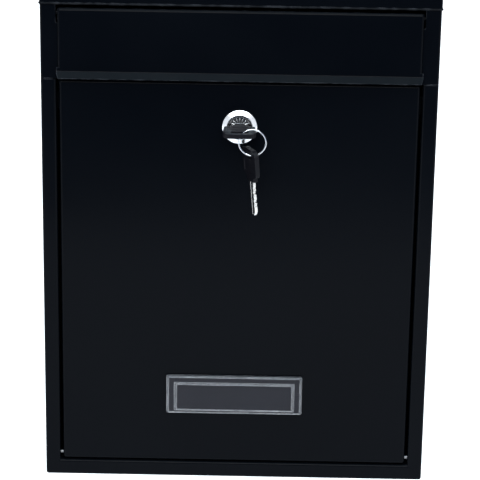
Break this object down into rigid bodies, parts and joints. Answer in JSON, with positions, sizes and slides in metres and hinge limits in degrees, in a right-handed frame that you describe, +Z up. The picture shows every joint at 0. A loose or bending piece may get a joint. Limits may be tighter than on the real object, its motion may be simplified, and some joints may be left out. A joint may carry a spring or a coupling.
{
  "type": "wall mounted mailbox",
  "caption": "Black steel wall mailbox with a top-hinged letter flap, a bottom-hinged locking door, keys on a ring and a clear name plate holder.",
  "frame": {"origin": "centre of the four wall holes, on the outer face of the back", "axes": "+Z up the wall, +X to the right seen from the front, -Y out of the wall towards the person at the box"},
  "size_m": [0.2616, 0.1133, 0.35],
  "materials": {
    "casing_paint": "gloss black powder coat on steel sheet",
    "flap_paint": "gloss black powder coat on steel sheet",
    "door_paint": "gloss black powder coat on steel sheet",
    "plain_steel": "bare drawn steel",
    "lock_chrome": "polished chrome plate",
    "plug_chrome": "chrome plated plug face with pressed ribs",
    "zinc_plate": "bright zinc plate",
    "wafer_brass": "stamped brass",
    "key_plastic": "moulded dark grey plastic",
    "key_nickel": "nickel plated key steel",
    "ring_nickel": "nickel plated spring wire",
    "clear_plastic": "clear moulded plastic",
    "card": "dark card insert"
  },
  "bodies": {
    "root": {"casing_shell": "casing_paint", "back_panel": "casing_paint", "roof_lid": "casing_paint", "header_frame": "casing_paint", "cross_rail": "casing_paint", "flap_brackets": "casing_paint", "flap_rod": "casing_paint", "rod_clips": "plain_steel", "door_pins": "plain_steel", "door_stops": "casing_paint"},
    "flap": {"flap_panel": "flap_paint"},
    "door": {"door_panel": "door_paint", "lock_housing": "lock_chrome", "lock_nut": "zinc_plate", "nameplate_holder": "clear_plastic", "name_card": "card", "nameplate_clips": "plain_steel"},
    "plug": {"lock_plug": "plug_chrome", "lock_wafers": "wafer_brass", "lock_cam": "zinc_plate", "cam_washer": "zinc_plate", "cam_screw": "zinc_plate"},
    "key": {"key_bow": "key_plastic", "key_blade": "key_nickel"},
    "ring": {"key_ring": "ring_nickel"},
    "spare_key": {"spare_key_bow": "key_plastic", "spare_key_blade": "key_nickel"}
  },
  "joints": [
    {"name": "flap_hinge", "type": "hinge", "parent": "root", "child": "flap", "pos_m": [0, -0.0848, 0.1536], "axis": [-1, 0, 0], "range_deg": [0, 85]},
    {"name": "door_hinge", "type": "hinge", "parent": "root", "child": "door", "pos_m": [0, -0.085, -0.1588], "axis": [1, 0, 0], "range_deg": [0, 110]},
    {"name": "lock_turn", "type": "hinge", "parent": "door", "child": "plug", "pos_m": [0.0005, -0.1, 0.0794], "axis": [0, 1, 0], "range_deg": [0, 90]},
    {"name": "key_slide", "type": "slide", "parent": "plug", "child": "key", "axis": [0, -1, 0], "range_m": [0, 0.03]},
    {"name": "ring_swing", "type": "hinge", "parent": "key", "child": "ring", "pos_m": [0.0091, -0.1056, 0.0809], "axis": [-1, 0, 0], "range_deg": [-3, 22]},
    {"name": "spare_key_swing", "type": "hinge", "parent": "ring", "child": "spare_key", "pos_m": [0.0091, -0.1056, 0.0652], "axis": [-1, 0, 0], "range_deg": [-3, 28]}
  ]
}
